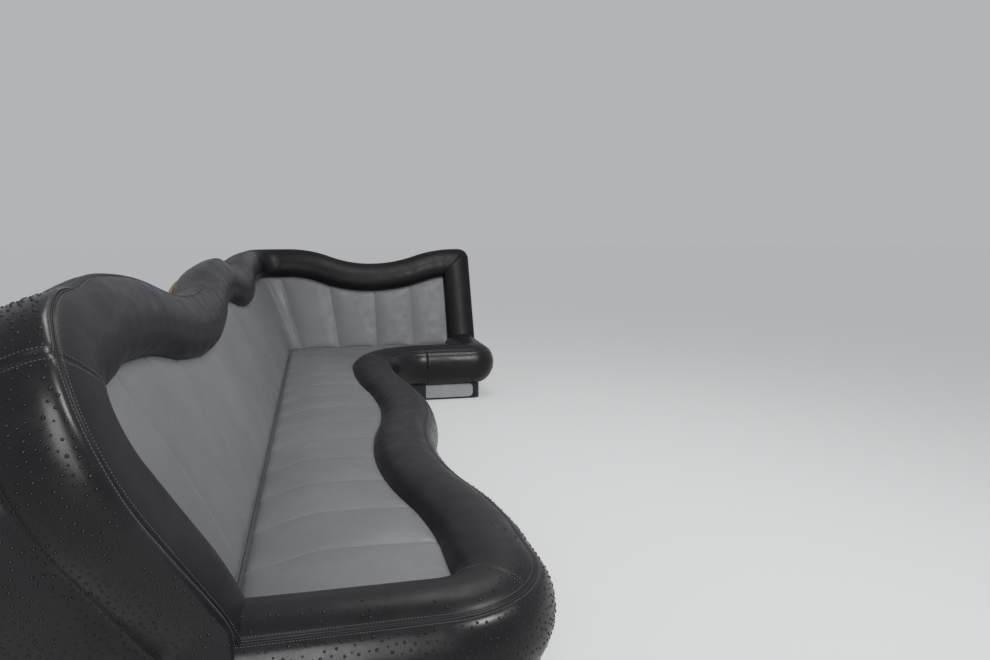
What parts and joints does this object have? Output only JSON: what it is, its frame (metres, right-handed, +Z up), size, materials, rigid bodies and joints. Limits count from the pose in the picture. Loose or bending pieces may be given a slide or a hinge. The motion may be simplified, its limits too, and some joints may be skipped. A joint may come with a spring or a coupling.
{
  "type": "wraparound lounge seat",
  "caption": "Wraparound lounge seat for a passenger cabin: a long side bench with a serpentine front edge and scalloped back, turning a corner into a rear bench.",
  "frame": {"origin": "on the floor under the middle of the whole seat group", "axes": "+X from the wall into the cabin, +Y along the side bench towards the rear bench, +Z up"},
  "size_m": [1.38, 3.615, 0.8046],
  "materials": {
    "black_leather": "smooth, satin",
    "quill_leather": "raised quill bumps, satin",
    "grey_leather": "smooth, matt",
    "black_vinyl": "matt",
    "plywood": "raw birch plywood",
    "zinc_steel": "zinc plated"
  },
  "bodies": {
    "root": {"corner_back_pad": "grey_leather", "corner_deck": "plywood", "corner_seat_pad": "grey_leather", "end_front_roll": "black_leather", "end_upright_roll": "black_leather", "near_end_panel": "quill_leather", "near_upright_roll": "black_leather", "rear_apron": "quill_leather", "rear_back_board": "plywood", "rear_back_pad": "grey_leather", "rear_back_rib_1": "plywood", "rear_back_rib_2": "plywood", "rear_back_rib_3": "plywood", "rear_back_roll": "black_leather", "rear_base_rib_1": "plywood", "rear_base_rib_2": "plywood", "rear_base_rib_3": "plywood", "rear_bracket_1": "zinc_steel", "rear_bracket_2": "zinc_steel", "rear_bracket_3": "zinc_steel", "rear_deck": "plywood", "rear_front_roll": "black_leather", "rear_kick_board": "black_vinyl", "rear_kick_strip": "grey_leather", "rear_seat_pad": "grey_leather", "side_apron": "quill_leather", "side_back_board": "plywood", "side_back_pad": "grey_leather", "side_back_rib_1": "plywood", "side_back_rib_2": "plywood", "side_back_rib_3": "plywood", "side_back_rib_4": "plywood", "side_back_rib_5": "plywood", "side_back_roll": "black_leather", "side_base_rib_1": "plywood", "side_base_rib_2": "plywood", "side_base_rib_3": "plywood", "side_base_rib_4": "plywood", "side_base_rib_5": "plywood", "side_bracket_1": "zinc_steel", "side_bracket_2": "zinc_steel", "side_bracket_3": "zinc_steel", "side_bracket_4": "zinc_steel", "side_bracket_5": "zinc_steel", "side_deck": "plywood", "side_front_roll": "black_leather", "side_kick_board": "black_vinyl", "side_seat_pad": "grey_leather"}
  },
  "joints": []
}
